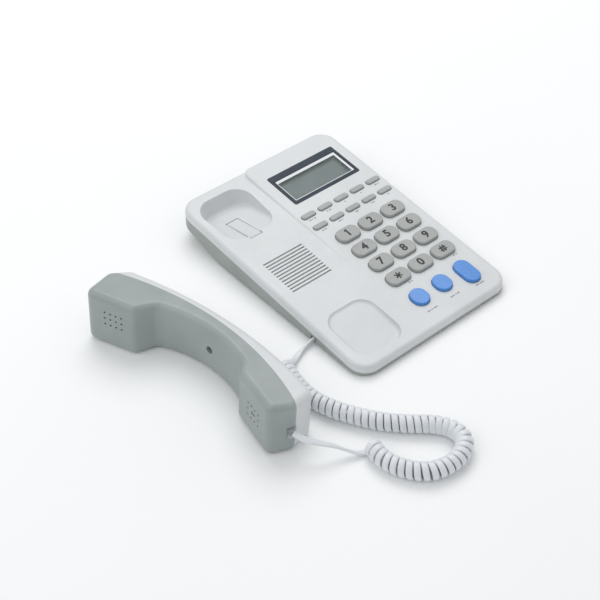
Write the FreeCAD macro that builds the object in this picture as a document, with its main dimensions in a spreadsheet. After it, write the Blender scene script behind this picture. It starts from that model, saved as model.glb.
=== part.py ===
import FreeCAD, Part
import math
import os
import re
import Sketcher

# Corded desk telephone: a wedge-shaped base with a cradle on its left and a sloping key panel on
# its right, a handset lying on its side on the floor to the left, and the curly cord between them.
# Millimetres.  X is right, Y is back, Z is up; the origin is the centre of the base on the floor.

SIZES = {
    # base case
    "base_width": 145, "base_depth": 205, "base_corner": 14, "wall": 2.2, "top_round": 3,
    "panel_front": 8.8, "panel_tilt": 5.6, "seam_front": 3, "seam_tilt": 4.9, "seam_chamfer": 0.5,
    "cradle_edge": -13, "cradle_drop": 2, "step_run": 145, "step_corner": 9,
    "floor_gap": 1.2, "floor_wall": 1.6, "heel_start": 54, "heel_tilt": 14,
    # cradle recesses
    "recess_centre": -43.5, "recess_corner": 12, "recess_draft": 12, "recess_round": 3,
    "ear_width": 41, "ear_length": 44, "ear_centre": 66, "ear_floor": 17, "ear_tilt": -9.5,
    "mouth_width": 40, "mouth_length": 45, "mouth_centre": -71.5, "mouth_floor": 9.2,
    "mouth_tilt": 9.2, "tub_wall": 1.6,
    # speaker grille
    "grille_length": 36.5, "grille_pitch": 2.96, "grille_slot": 1.3, "speaker_diameter": 40,
    "speaker_depth": 8,
    # keys
    "panel_centre": 29.8, "key_pitch": 22.5, "key_row_pitch": 17.95, "key_top_row": 1.1,
    "key_width": 19.5, "key_length": 12.6, "key_corner": 5.4, "key_height": 2.6,
    "small_pitch": 16.2, "small_row_pitch": 13.5, "small_top_row": 34, "small_width": 12.6,
    "small_length": 4.6, "small_height": 1.4,
    "talk_row": -76.2, "talk_centre": 28.6, "talk_width": 13.6, "talk_length": 15.4,
    "talk_height": 2.4, "long_key_width": 13.2, "long_key_length": 22.6, "long_key_shift": -2.7,
    "key_gap": 0.35, "key_round": 0.8, "key_flange": 1.2, "flange_thick": 0.8, "flange_gap": 0.2,
    "key_travel": 1, "mat_thick": 0.6, "board_thick": 1.2,
    # display
    "display_centre": 65.7, "bezel_width": 65.1, "bezel_length": 34.8, "bezel_side": 2,
    "bezel_front": 2.1, "bezel_back": 6, "bezel_thick": 1.2, "bezel_proud": 0.2,
    "ledge": 1, "glass_thick": 1.8, "glass_margin": 1.6, "glass_drop": 0.6,
    # handset
    "hand_half": 88, "hand_width": 43, "hand_draft": 4, "hand_face": 45, "hand_wall": 2.4,
    "hand_back_arc": 300, "hand_round": 5,
    "ear_face_outer": 51, "ear_face_inner": 40.8, "ear_face_end": -49.5, "ear_step": -43,
    "grip_ear": 25.5, "grip_mouth": 24.5, "grip_mouth_end": 35, "grip_arc": 95,
    "mouth_face_start": 42.5, "mouth_face_inner": 33.5, "mouth_face_end": 79,
    "mouth_face_outer": 45.5, "mouth_nose": 31, "part_line_ear": 22.5,
    "part_line_mouth": 28.5, "part_line_arc": 213, "ear_bulge": 4.5, "jack_shift": -2.5,
    "hand_yaw": -82.8, "hand_x": -126.2, "hand_y": -26.3,
    "hole_pitch": 4.4, "hole_row": 5, "hole_radius": 0.8, "ear_holes_shift": 3.5,
    # plugs, jacks, cord
    "plug_width": 7.65, "plug_height": 5.9, "plug_length": 11.7, "plug_gap": 0.2,
    "jack_wall": 2, "jack_depth": 9, "cord_exit": -52, "hand_jack_level": 31.5,
    "wire_diameter": 3.3, "coil_diameter": 12.4,
}

SHEET = "Sizes"
doc = FreeCAD.newDocument("DeskPhone")
V = FreeCAD.Vector


def make_sheet():
    sheet = doc.addObject("Spreadsheet::Sheet", SHEET)
    for row, (name, value) in enumerate(SIZES.items(), start=1):
        sheet.set("A%d" % row, name)
        sheet.set("B%d" % row, str(value))
        sheet.setAlias("B%d" % row, name)
    doc.recompute()
    return sheet


sheet = make_sheet()


def bound(text):
    """The expression with each size name pointing at its cell."""
    return re.sub(r"[a-z_]+", lambda m: SHEET + "." + m[0] if m[0] in SIZES else m[0], str(text))


def val(text):
    return float(sheet.evalExpression(str(text)))


# ------------------------------------------------------------------ building blocks

def place(thing, x="0", y="0", z="0", axis=(1, 0, 0), angle="0"):
    """Put an object at a bound position, turned about one axis by a bound angle."""
    turn = FreeCAD.Rotation(V(*axis), val(angle))
    thing.Placement = FreeCAD.Placement(V(val(x), val(y), val(z)), turn)
    for key, text in (("x", x), ("y", y), ("z", z)):
        thing.setExpression("Placement.Base." + key, bound(text))
    if str(angle) != "0":
        thing.setExpression("Placement.Rotation.Angle", bound(angle))
    return thing


PANEL_Z = "(panel_front + base_depth / 2 * tan(panel_tilt))"


def on_panel(thing):
    """Give an object the key panel's own frame: its surface is local Z = 0."""
    return place(thing, z=PANEL_Z, angle="panel_tilt")


def new_body(label):
    body = doc.addObject("PartDesign::Body", label)
    body.Label = label
    return body


def new_sketch(body, plane, offset="0"):
    origin = {feature.Role: feature for feature in body.Origin.OriginFeatures}
    sketch = body.newObject("Sketcher::SketchObject", body.Name + "_sketch")
    sketch.AttachmentSupport = [(origin[plane + "_Plane"], "")]
    sketch.MapMode = "FlatFace"
    sketch.setExpression("AttachmentOffset.Base.z", bound(offset))
    return sketch


def arc_between(start, end, radius):
    """Arc on the left-turning side for a positive radius, right-turning for a negative one."""
    chord = math.dist(start, end)
    side = 1 if radius > 0 else -1
    lift = side * math.sqrt(max(radius * radius - chord * chord / 4, 0))
    cx = (start[0] + end[0]) / 2 - (end[1] - start[1]) / chord * lift
    cy = (start[1] + end[1]) / 2 + (end[0] - start[0]) / chord * lift
    first = math.atan2(start[1] - cy, start[0] - cx)
    last = math.atan2(end[1] - cy, end[0] - cx)
    if side < 0:
        first, last = last, first
    while last < first:
        last += 2 * math.pi
    circle = Part.Circle(V(cx, cy, 0), V(0, 0, 1), abs(radius))
    return Part.ArcOfCircle(circle, first, last)


def outline(sketch, corners):
    """Closed outline. A corner is (x, y) or (x, y, radius of the arc that starts there)."""
    spots = [(val(c[0]), val(c[1])) for c in corners]
    starts = []
    for i, corner in enumerate(corners):
        after = spots[(i + 1) % len(spots)]
        if len(corner) == 3:
            radius = val(corner[2])
            sketch.addGeometry(arc_between(spots[i], after, radius), False)
            starts.append(1 if radius > 0 else 2)
        else:
            sketch.addGeometry(Part.LineSegment(V(*spots[i], 0), V(*after, 0)), False)
            starts.append(1)
    base = sketch.GeometryCount - len(corners)
    for i, corner in enumerate(corners):
        here, before = base + i, base + (i - 1) % len(corners)
        end = 3 - starts[(i - 1) % len(corners)]
        sketch.addConstraint(Sketcher.Constraint("Coincident", before, end, here, starts[i]))
        for kind, axis in (("DistanceX", 0), ("DistanceY", 1)):
            row = sketch.addConstraint(
                Sketcher.Constraint(kind, -1, 1, here, starts[i], spots[i][axis]))
            sketch.setExpression("Constraints[%d]" % row, bound(corner[axis]))
        if len(corner) == 3:
            row = sketch.addConstraint(Sketcher.Constraint("Radius", here, abs(val(corner[2]))))
            sketch.setExpression("Constraints[%d]" % row, bound("abs(%s)" % corner[2]))


def rounded(sketch, width, length, radius, x="0", y="0"):
    """Rounded rectangle about a centre."""
    w, d, r = "(%s) / 2" % width, "(%s) / 2" % length, "(%s)" % radius
    left, right = "%s - %s" % (x, w), "%s + %s" % (x, w)
    front, back = "%s - %s" % (y, d), "%s + %s" % (y, d)
    outline(sketch, [
        (left + " + " + r, front), (right + " - " + r, front, radius),
        (right, front + " + " + r), (right, back + " - " + r, radius),
        (right + " - " + r, back), (left + " + " + r, back, radius),
        (left, back + " - " + r), (left, front + " + " + r, radius)])


def circle(sketch, x, y, radius):
    row = sketch.addGeometry(Part.Circle(V(val(x), val(y), 0), V(0, 0, 1), val(radius)), False)
    for kind, text in (("DistanceX", x), ("DistanceY", y)):
        spot = sketch.addConstraint(Sketcher.Constraint(kind, -1, 1, row, 3, val(text)))
        sketch.setExpression("Constraints[%d]" % spot, bound(text))
    spot = sketch.addConstraint(Sketcher.Constraint("Radius", row, val(radius)))
    sketch.setExpression("Constraints[%d]" % spot, bound(radius))


def extrude(body, kind, sketch, length, both=False, reverse=False, taper="0"):
    feature = body.newObject("PartDesign::" + kind, body.Name + "_" + kind.lower())
    feature.Profile = sketch
    feature.setExpression("Length", bound(length))
    feature.SideType = "Symmetric" if both else "One side"
    feature.Reversed = reverse
    if taper != "0":
        feature.setExpression("TaperAngle", bound(taper))
    doc.recompute()
    return feature


def edges_where(shape, test):
    return ["Edge%d" % (i + 1) for i, edge in enumerate(shape.Edges) if test(edge)]


def round_edges(body, radius, test, kind="Fillet"):
    """Round, or chamfer, the edges of the body's shape that pass the test."""
    before = body.Tip
    names = edges_where(before.Shape, test)
    if not names:
        raise ValueError("no edge to round on " + body.Label)
    feature = body.newObject("PartDesign::" + kind, body.Name + "_" + kind.lower())
    feature.Base = (before, names)
    feature.setExpression("Radius" if kind == "Fillet" else "Size", bound(radius))
    doc.recompute()
    return feature


def slab(label, width, length, radius, bottom, height, x="0", y="0", taper="0"):
    """Rounded rectangular plate or block standing on a level plane."""
    body = new_body(label)
    sketch = new_sketch(body, "XY", bottom)
    rounded(sketch, width, length, radius, x, y)
    extrude(body, "Pad", sketch, height, taper=taper)
    return body


def disc(label, x, y, radius, bottom, height):
    body = new_body(label)
    sketch = new_sketch(body, "XY", bottom)
    circle(sketch, x, y, radius)
    extrude(body, "Pad", sketch, height)
    return body


def box(label, x, y, z, width, length, height):
    """Box given by its low corner and sizes, all bound."""
    thing = doc.addObject("Part::Box", label)
    thing.Label = label
    for key, text in (("Length", width), ("Width", length), ("Height", height)):
        thing.setExpression(key, bound(text))
    return place(thing, x, y, z)


def fuse(label, things):
    thing = doc.addObject("Part::MultiFuse", label)
    thing.Label = label
    thing.Shapes = things
    thing.Refine = True
    return thing


def combine(kind, label, base, tools):
    tool = tools[0] if len(tools) == 1 else fuse(label + "_tools", tools)
    thing = doc.addObject("Part::" + kind, label)
    thing.Label = label
    thing.Base = base
    thing.Tool = tool
    thing.Refine = True
    return thing


def cut(label, base, tools):
    return combine("Cut", label, base, tools)


def common(label, base, tools):
    return combine("Common", label, base, tools)


parts = {}


def keep(thing, name=None):
    """Mark an object as a finished sub-part."""
    parts[name or thing.Label] = thing
    return thing


# ------------------------------------------------------------------ case

HALF_W = "base_width / 2"
HALF_D = "base_depth / 2"
STEP_Y = "(base_depth / 2 - step_run)"
CRADLE_BACK = "(panel_front + base_depth * tan(panel_tilt) - cradle_drop)"


def panel_level(y):
    """Height of the key panel's surface at a place along Y."""
    return "(panel_front + (%s + base_depth / 2) * tan(panel_tilt))" % y


def seam_level(y):
    return "(seam_front + (%s + base_depth / 2) * tan(seam_tilt))" % y


def cradle_slope():
    return "((%s - %s) / step_run)" % (CRADLE_BACK, panel_level(STEP_Y))


def cradle_level(y):
    """Height of the cradle side behind the place where the step fades out."""
    return "(%s + (%s - %s) * %s)" % (panel_level(STEP_Y), y, STEP_Y, cradle_slope())


SKY = "120"
DEEP = "-60"


def side_pocket(body, corners, width="400"):
    """Cut a profile drawn in the YZ plane right through the body along X."""
    sketch = new_sketch(body, "YZ")
    outline(sketch, corners)
    extrude(body, "Pocket", sketch, width, both=True)


def above(level_front, level_back, extra=None):
    """Profile of everything above a sloping line, with an optional bend in it."""
    front, back = "-" + HALF_D + " - 20", HALF_D + " + 20"
    line = [(front, level_front(front))] + (extra or []) + [(back, level_back(back))]
    return line + [(back, SKY), (front, SKY)]


def below(level):
    front, back = "-" + HALF_D + " - 20", HALF_D + " + 20"
    return [(front, DEEP), (back, DEEP), (back, level(back)), (front, level(front))]


def flat_level(drop):
    return lambda y: "(%s - %s)" % (panel_level(y), drop)


def cradle_side_level(drop):
    return lambda y: "(%s - %s)" % (cradle_level(y), drop)


def top_edges(shape_levels):
    """Test for edges that lie along the sloping top surface."""
    def test(edge):
        middle = edge.valueAt((edge.FirstParameter + edge.LastParameter) / 2)
        return any(abs(middle.z - level(middle.y)) < 0.05 for level in shape_levels)
    return test


def number(level):
    return lambda y: val(level("%r" % y))


def cradle_block(label, inset):
    """Whole footprint up to the cradle side's surface, less an inset all round."""
    body = slab(label, "base_width - 2 * " + inset, "base_depth - 2 * " + inset,
                "(base_corner - %s)" % inset, "-10", "100")
    bend = [(STEP_Y, "(%s - %s)" % (panel_level(STEP_Y), inset))]
    side_pocket(body, above(flat_level(inset), cradle_side_level(inset), bend))
    return body


def panel_block(label, inset):
    """The raised key side, with its back left corner rounded in plan."""
    body = new_body(label)
    sketch = new_sketch(body, "XY", "-10")
    left, right = "(cradle_edge + %s)" % inset, "(%s - %s)" % (HALF_W, inset)
    front, back = "(%s - %s)" % (inset, HALF_D), "(%s - %s)" % (HALF_D, inset)
    big, small = "(base_corner - %s)" % inset, "step_corner"
    outline(sketch, [
        (left, front), (right + " - " + big, front, big), (right, front + " + " + big),
        (right, back + " - " + big, big), (right + " - " + big, back),
        (left + " + " + small, back, small), (left, back + " - " + small)])
    extrude(body, "Pad", sketch, "100")
    side_pocket(body, above(flat_level(inset), flat_level(inset)))
    return body


def case_outside():
    """Outer form of the whole case, both sides, with its top edges rounded."""
    left = cradle_block("case_left_form", "0")
    flat, slope = number(panel_level), number(cradle_level)
    bend = val(STEP_Y)
    rim = top_edges([lambda y: flat(y) if y < bend else slope(y)])

    def left_rim(edge):
        across = all(abs(v.Point.y - bend) < 0.1 for v in edge.Vertexes)
        return rim(edge) and not across

    round_edges(left, "top_round", left_rim)
    right = panel_block("case_right_form", "0")
    round_edges(right, "top_round", top_edges([flat]))
    return fuse("case_form", [left, right])


def recess_space(label, width, length, centre, level, tilt, grow="0"):
    """Tapered space of one cradle recess, standing on its own sloping floor."""
    body = new_body(label)
    sketch = new_sketch(body, "XY", "-(%s)" % grow)
    rounded(sketch, "%s + 2 * %s" % (width, grow), "%s + 2 * %s" % (length, grow),
            "recess_corner + " + grow)
    extrude(body, "Pad", sketch, "40", taper="recess_draft")
    doc.recompute()
    floor = val("-(%s)" % grow)
    round_edges(body, "recess_round + " + grow,
                lambda e: all(abs(v.Z - floor) < 0.01 for v in e.Vertexes))
    return place(body, "recess_centre", centre, level, angle=tilt)


def recess_pair(grow, suffix):
    ear = recess_space("ear_recess" + suffix, "ear_width", "ear_length", "ear_centre",
                       "ear_floor", "ear_tilt", grow)
    mouth = recess_space("mouth_recess" + suffix, "mouth_width", "mouth_length",
                         "mouth_centre", "mouth_floor", "mouth_tilt", grow)
    return [ear, mouth]


def grille_slots():
    """Twelve slots across the cradle side, cut through its wall."""
    slots = []
    for row in range(12):
        y = "(grille_pitch * %s - 1.2)" % (row - 5.5)
        slots.append(slab("grille_slot_%d" % (row + 1), "grille_length", "grille_slot",
                          "grille_slot * 0.49", "8", "20", "recess_centre", y))
    return slots


# name: (x, y, width, length, corner, height), all in the key panel's frame
def key_table():
    keys = {}
    names = [["1", "2", "3"], ["4", "5", "6"], ["7", "8", "9"], ["star", "0", "hash"]]
    for row, line in enumerate(names):
        for column, name in enumerate(line):
            keys["key_" + name] = (
                "(panel_centre + key_pitch * %d)" % (column - 1),
                "(key_top_row - key_row_pitch * %d)" % row,
                "key_width", "key_length", "key_corner", "key_height")
    uses = [["store", "program", "down", "up", "delete"], ["mute", "lock", "pause", "alarm", "call"]]
    for row, line in enumerate(uses):
        for column, name in enumerate(line):
            keys["function_key_" + name] = (
                "(panel_centre + small_pitch * %d)" % (column - 2),
                "(small_top_row - small_row_pitch * %d)" % row,
                "small_width", "small_length", "small_length * 0.49", "small_height")
    for column, name in enumerate(["flash", "redial"]):
        keys[name + "_key"] = (
            "(talk_centre + key_pitch * %d)" % (column - 1), "talk_row",
            "talk_width", "talk_length", "talk_width * 0.49", "talk_height")
    keys["hands_free_key"] = (
        "(talk_centre + key_pitch)", "(talk_row + long_key_shift)",
        "long_key_width", "long_key_length", "long_key_width * 0.49", "talk_height")
    return keys


KEYS = key_table()
UNDER = "(wall + flange_gap)"
MAT_TOP = "(%s + flange_thick + key_travel + 0.2)" % UNDER
BOARD_TOP = "(%s + mat_thick)" % MAT_TOP


def key_openings():
    tools = []
    for name, (x, y, width, length, corner, height) in KEYS.items():
        tool = slab(name + "_opening", width + " + 2 * key_gap", length + " + 2 * key_gap",
                    "(%s + key_gap)" % corner, "-wall - 3", "wall + 8", x, y)
        tools.append(on_panel(tool))
    return tools


def make_keys():
    for name, (x, y, width, length, corner, height) in KEYS.items():
        body = slab(name, width + " + 2 * key_flange", length + " + 2 * key_flange",
                    "(%s + key_flange)" % corner, "-%s - flange_thick" % UNDER, "flange_thick", x, y)
        sketch = new_sketch(body, "XY", "-" + UNDER)
        rounded(sketch, width, length, corner, x, y)
        extrude(body, "Pad", sketch, "%s + %s" % (UNDER, height))
        top = val(height)
        round_edges(body, "key_round", lambda e: all(abs(v.Z - top) < 0.01 for v in e.Vertexes))
        keep(on_panel(body))


def make_keypad():
    """Rubber mat with one dome under each key, on the board that the keys work."""
    mat_y = "((small_top_row + talk_row) / 2 - 1)"
    mat = slab("keypad_mat", "2 * small_pitch + 46", "small_top_row - talk_row + 26", "2",
               "-" + BOARD_TOP, "mat_thick", "panel_centre", mat_y)
    for name, (x, y, width, length, corner, height) in KEYS.items():
        sketch = new_sketch(mat, "XY", "-" + MAT_TOP)
        circle(sketch, x, y, "min(%s; %s) / 3.2" % (width, length))
        extrude(mat, "Pad", sketch, "%s - %s - flange_thick - 0.05" % (MAT_TOP, UNDER))
    keep(on_panel(mat))
    board = slab("keypad_board", "2 * small_pitch + 47", "176", "1",
                 "-%s - board_thick" % BOARD_TOP, "board_thick", "panel_centre", "-1")
    keep(on_panel(board))


# ------------------------------------------------------------------ display

WINDOW_W = "(bezel_width - 2 * bezel_side)"
WINDOW_L = "(bezel_length - bezel_front - bezel_back)"
WINDOW_Y = "(display_centre + (bezel_front - bezel_back) / 2)"


def display_openings():
    seat = slab("display_seat", "bezel_width + 0.2", "bezel_length + 0.2", "1.6",
                "-(bezel_thick - bezel_proud)", "20", "panel_centre", "display_centre")
    window = slab("display_window", WINDOW_W + " - 2 * ledge", WINDOW_L + " - 2 * ledge", "0.6",
                  "-10", "30", "panel_centre", WINDOW_Y)
    return [on_panel(seat), on_panel(window)]


def make_display():
    bezel = slab("display_bezel", "bezel_width", "bezel_length", "1.5",
                 "-(bezel_thick - bezel_proud)", "bezel_thick", "panel_centre", "display_centre")
    sketch = new_sketch(bezel, "XY", "bezel_proud")
    rounded(sketch, WINDOW_W, WINDOW_L, "0.8", "panel_centre", WINDOW_Y)
    extrude(bezel, "Pocket", sketch, "bezel_thick + 1")
    keep(on_panel(bezel))
    lens = slab("display_lens", WINDOW_W, WINDOW_L, "0.8", "-(bezel_thick - bezel_proud)",
                "bezel_thick - 0.3", "panel_centre", WINDOW_Y)
    keep(on_panel(lens))
    glass_w = "%s + 2 * glass_margin" % WINDOW_W
    glass_l = "%s + 2 * glass_margin" % WINDOW_L
    glass = slab("lcd_glass", glass_w, glass_l, "0.3", "-(wall + glass_drop + glass_thick)",
                 "glass_thick", "panel_centre", WINDOW_Y)
    keep(on_panel(glass))
    holder = slab("lcd_holder", glass_w + " + 3", glass_l + " + 3", "1", "-" + BOARD_TOP,
                  "%s - wall" % BOARD_TOP, "panel_centre", WINDOW_Y)
    sketch = new_sketch(holder, "XY", "-wall")
    rounded(sketch, glass_w + " - 2.4", glass_l + " - 2.4", "0.3", "panel_centre", WINDOW_Y)
    extrude(holder, "Pocket", sketch, "20")
    sketch = new_sketch(holder, "XY", "-(wall + glass_drop)")
    rounded(sketch, glass_w, glass_l, "0.3", "panel_centre", WINDOW_Y)
    extrude(holder, "Pocket", sketch, "20")
    keep(on_panel(holder))


# ------------------------------------------------------------------ what the case holds

SCREWS = [("-4", "-94.5"), ("62", "-94.5"), ("-6.5", "93"), ("62", "93")]
FEET = [("-61.5", "-84"), ("61.5", "-84"), ("-61.5", "42"), ("61.5", "42")]
FLOOR_TOP = "(floor_gap + floor_wall)"
HEEL = "tan(heel_tilt)"


def underside(y):
    return "(floor_gap + max(0; %s - heel_start) * %s)" % (y, HEEL)


def boss_split(y):
    """Level where the lower case's post meets the upper case's screw post."""
    return "(%s + floor_wall + 1.6)" % underside(y)


def screw_posts():
    lower, upper, bores = [], [], []
    for i, (x, y) in enumerate(SCREWS, start=1):
        split = boss_split(y)
        lower.append(disc("lower_post_%d" % i, x, y, "3.4", underside(y) + " + 1",
                          "%s - %s - 1" % (split, underside(y))))
        upper.append(disc("upper_post_%d" % i, x, y, "3.4", split,
                          "%s - %s - wall / 2" % (panel_level(y), split)))
        bores.append(disc("screw_bore_%d" % i, x, y, "1.3", "-1",
                          "min(%s + 9; %s - wall) + 1" % (split, panel_level(y))))
        bores.append(disc("head_bore_%d" % i, x, y, "2.8", "-1", "%s - 1.4 + 1" % split))
    return lower, upper, bores


def make_screws():
    group = []
    for i, (x, y) in enumerate(SCREWS, start=1):
        split = boss_split(y)
        body = disc("case_screw_%d" % i, x, y, "2.6", "%s - 1.4 - 1.5" % split, "1.5")
        sketch = new_sketch(body, "XY", split + " - 1.4")
        circle(sketch, x, y, "1.25")
        extrude(body, "Pad", sketch, "min(9.4; %s - wall - 0.2 - %s + 1.4)" % (panel_level(y), split))
        group.append(body)
    keep(fuse("case_screws", group))


def make_feet():
    group = [disc("foot_%d" % i, x, y, "5", "0", "floor_gap + 0.5")
             for i, (x, y) in enumerate(FEET, start=1)]
    keep(fuse("rubber_feet", group))


def foot_seats():
    return [disc("foot_seat_%d" % i, x, y, "5.1", "-1", "floor_gap + 0.5 + 1")
            for i, (x, y) in enumerate(FEET, start=1)]


# The battery box hangs in the lower case; its door slides back out of the underside.
BATTERY_X, BATTERY_Y = "28", "37"
CELL_R = "5.25"


def battery_box():
    outside = slab("battery_box", "57", "26", "2", "floor_gap + 0.4",
                   "14.7 - floor_gap - 0.4", BATTERY_X, BATTERY_Y)
    inside = slab("battery_space", "54.6", "23.6", "1.5", "-2", "15.7", BATTERY_X, BATTERY_Y)
    path = slab("door_path", "55", "60", "0.4", "-20", "20 + floor_gap + floor_wall + 0.1",
                BATTERY_X, BATTERY_Y + " - 12.5 + 30")
    return outside, inside, path


def make_battery():
    door = slab("battery_door", "54.6", "29.6", "0.3", "floor_gap", "floor_wall",
                BATTERY_X, BATTERY_Y + " - 12.3 + 14.8")
    for row in range(5):
        sketch = new_sketch(door, "XY", "floor_gap + 0.5")
        rounded(sketch, "14", "0.8", "0.39", BATTERY_X, BATTERY_Y + " + 8 + %s" % (row * 1.8))
        extrude(door, "Pocket", sketch, "2")
    keep(door)
    cells, contacts = [], []
    for row in (-1, 1):
        y = "%s + %d * 5.6" % (BATTERY_Y, row)
        cell = new_body("battery_cell_%d" % (2 + row))
        sketch = new_sketch(cell, "YZ", BATTERY_X + " - 22")
        circle(sketch, y, "floor_gap + floor_wall + 0.2 + " + CELL_R, CELL_R)
        extrude(cell, "Pad", sketch, "43")
        sketch = new_sketch(cell, "YZ", BATTERY_X + " + 21")
        circle(sketch, y, "floor_gap + floor_wall + 0.2 + " + CELL_R, "2.6")
        extrude(cell, "Pad", sketch, "1.2")
        cells.append(cell)
    for side, x in (("left", BATTERY_X + " - 26.7"), ("right", BATTERY_X + " + 26.1")):
        plate = box("battery_contact_" + side, x, BATTERY_Y + " - 10.5", "floor_gap + 3",
                    "0.5", "21", "9")
        contacts.append(plate)
        for row in (-1, 1):
            y = "%s + %d * 5.6" % (BATTERY_Y, row)
            start, length = ((x + " + 0.5", "4.1") if side == "left" else (x + " - 3.8", "3.8"))
            spring = new_body("battery_spring_%s_%d" % (side, 2 + row))
            sketch = new_sketch(spring, "YZ", start)
            circle(sketch, y, "floor_gap + floor_wall + 0.2 + " + CELL_R, "2.2")
            extrude(spring, "Pad", sketch, length)
            contacts.append(spring)
    keep(fuse("batteries", cells))
    keep(fuse("battery_contacts", contacts))


# The hook lever: a wedge tongue in the ear recess, on a pin across its back end.
LEVER_X, LEVER_W, LEVER_BACK, LEVER_FRONT = "-45.7", "10.6", "69", "42.2"
LEVER_Z = "14"


def lever_profile(grow):
    front = "%s - %s" % (LEVER_FRONT, grow)
    return [(LEVER_BACK + " + 2.2 + " + grow, LEVER_Z + " - 2.2"),
            (LEVER_BACK + " + 2.2 + " + grow, LEVER_Z + " + 2.4 + " + grow),
            (front, "21.8 + " + grow), (front, LEVER_Z + " - 2.2")]


def lever_slot():
    return box("lever_slot", "%s - %s / 2 - 0.5" % (LEVER_X, LEVER_W), LEVER_FRONT + " - 0.6",
               "2", LEVER_W + " + 1", "%s - %s + 3.6" % (LEVER_BACK, LEVER_FRONT), "30")


def make_lever():
    body = new_body("hook_lever")
    sketch = new_sketch(body, "YZ", LEVER_X)
    outline(sketch, lever_profile("0"))
    extrude(body, "Pad", sketch, LEVER_W, both=True)
    top = val(LEVER_Z) + 1
    round_edges(body, "0.8", lambda e: all(v.Z > top for v in e.Vertexes))
    sketch = new_sketch(body, "YZ", LEVER_X)
    circle(sketch, LEVER_BACK, LEVER_Z, "1.5")
    extrude(body, "Pad", sketch, LEVER_W + " + 5", both=True)
    keep(body)


def lever_ears():
    """Two ears below the ear recess that carry the lever's pin."""
    ears, holes = [], []
    for side in (-1, 1):
        x = "%s + %d * (%s / 2 + 1.7) - 1" % (LEVER_X, side, LEVER_W)
        ears.append(box("lever_ear_%d" % (side + 2), x, LEVER_BACK + " - 3.2", LEVER_Z + " - 3",
                        "2", "6.4", "6"))
    hole = new_body("lever_pin_hole")
    sketch = new_sketch(hole, "YZ", LEVER_X)
    circle(sketch, LEVER_BACK, LEVER_Z, "1.56")
    extrude(hole, "Pad", sketch, LEVER_W + " + 12", both=True)
    holes.append(hole)
    return ears, holes


def make_hook_switch():
    switch = slab("hook_switch", "12", "5", "0.4", FLOOR_TOP, "4.9", LEVER_X, "50.6")
    sketch = new_sketch(switch, "XY", FLOOR_TOP + " + 4.9")
    circle(sketch, LEVER_X, "50.6", "1.2")
    extrude(switch, "Pad", sketch, "0.5")
    keep(switch)
    spring = disc("hook_spring", LEVER_X, "45", "2.4", FLOOR_TOP, LEVER_Z + " - 2.25 - " + FLOOR_TOP)
    sketch = new_sketch(spring, "XY", FLOOR_TOP)
    circle(sketch, LEVER_X, "45", "1.8")
    extrude(spring, "Pocket", sketch, "40", reverse=True)
    keep(spring)


def make_speaker():
    """Hands-free loudspeaker: a cone basket with its magnet, under the grille."""
    body = new_body("hands_free_speaker")
    sketch = new_sketch(body, "XZ")
    radius = "speaker_diameter / 2"
    outline(sketch, [("0", "-speaker_depth"), ("9", "-speaker_depth"), ("9", "-3"),
                     (radius + " - 1.5", "-1.6"), (radius, "-1.6"), (radius, "0"),
                     (radius + " - 2.5", "0"), ("6", "-2.2"), ("0", "-1.6")])
    turn = body.newObject("PartDesign::Revolution", "speaker_turn")
    turn.Profile = sketch
    turn.ReferenceAxis = (sketch, ["V_Axis"])
    turn.Angle = 360
    doc.recompute()
    y = "-1.2"
    keep(place(body, "recess_centre", y, "%s - wall - 0.15" % cradle_level(y),
               angle="atan(%s)" % cradle_slope()))


def make_boards():
    board = slab("main_board", "74", "26", "1", "11", "board_thick", "28", "66.5")
    for i, (x, y, w, l, high) in enumerate([("10", "66", "11", "9", "2"), ("34", "70", "7", "6", "1.6"),
                                            ("50", "63", "6", "5", "3")]):
        sketch = new_sketch(board, "XY", "11 + board_thick")
        rounded(sketch, w, l, "0.3", x, y)
        extrude(board, "Pad", sketch, high)
    keep(board)
    mic = new_body("hands_free_microphone")
    sketch = new_sketch(mic, "XZ", "99.4")
    circle(sketch, "-13.5", "4.9", "2")
    extrude(mic, "Pad", sketch, "2.6", reverse=True)
    keep(mic)


# ------------------------------------------------------------------ jacks and plugs

PLUG_TOP = "(1.5 + plug_height)"


def base_jack_parts():
    """Handset socket low in the left side, its plug reached through a channel underneath."""
    y = "cord_exit"
    outer = box("base_jack_block", "-66.5", y + " - plug_width / 2 - jack_wall", FLOOR_TOP,
                "jack_depth + 2.5", "plug_width + 2 * jack_wall", "8.9 - " + FLOOR_TOP)
    space = box("base_jack_space", "-68", y + " - plug_width / 2 - plug_gap", "0",
                "jack_depth + 1.5", "plug_width + 2 * plug_gap", PLUG_TOP + " + plug_gap")
    channel = box("cord_channel", "-70.3", y + " - plug_width / 2 - 1", "0",
                  "14", "plug_width + 2", FLOOR_TOP + " + 0.01")
    notch = box("cord_notch", "-75", y + " - 2.6", "-1", "8", "5.2", "6.4")
    return outer, space, channel, notch


def plug(label, length):
    """Four-way modular plug along +X, its cord end at X = 0."""
    body = new_body(label)
    sketch = new_sketch(body, "XZ", "-plug_width / 2")
    outline(sketch, [("0", "0.4"), ("2", "0"), (length, "0"), (length, "plug_height - 2"),
                     (length + " - 2", "plug_height - 1.6"), ("3.5", "plug_height"),
                     ("1.2", "plug_height"), ("0", "plug_height - 2")])
    extrude(body, "Pad", sketch, "plug_width", reverse=False)
    return body


def line_jack():
    block = box("line_jack_block", "33", "base_depth / 2 - wall - 12.2", "14.6", "14", "12", "9.4")
    space = box("line_jack_space", "35", "base_depth / 2 - wall - 9", "15.8", "10", "20", "7")
    return block, space


# ------------------------------------------------------------------ case halves

def case_cavity():
    left = cradle_block("cavity_left", "wall")
    right = panel_block("cavity_right", "wall")
    return fuse("case_cavity", [left, right])


def half_space(label, corners):
    """Everything on one side of a line drawn in the YZ plane."""
    body = new_body(label)
    sketch = new_sketch(body, "YZ")
    outline(sketch, corners)
    extrude(body, "Pad", sketch, "400", both=True)
    return body


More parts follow.
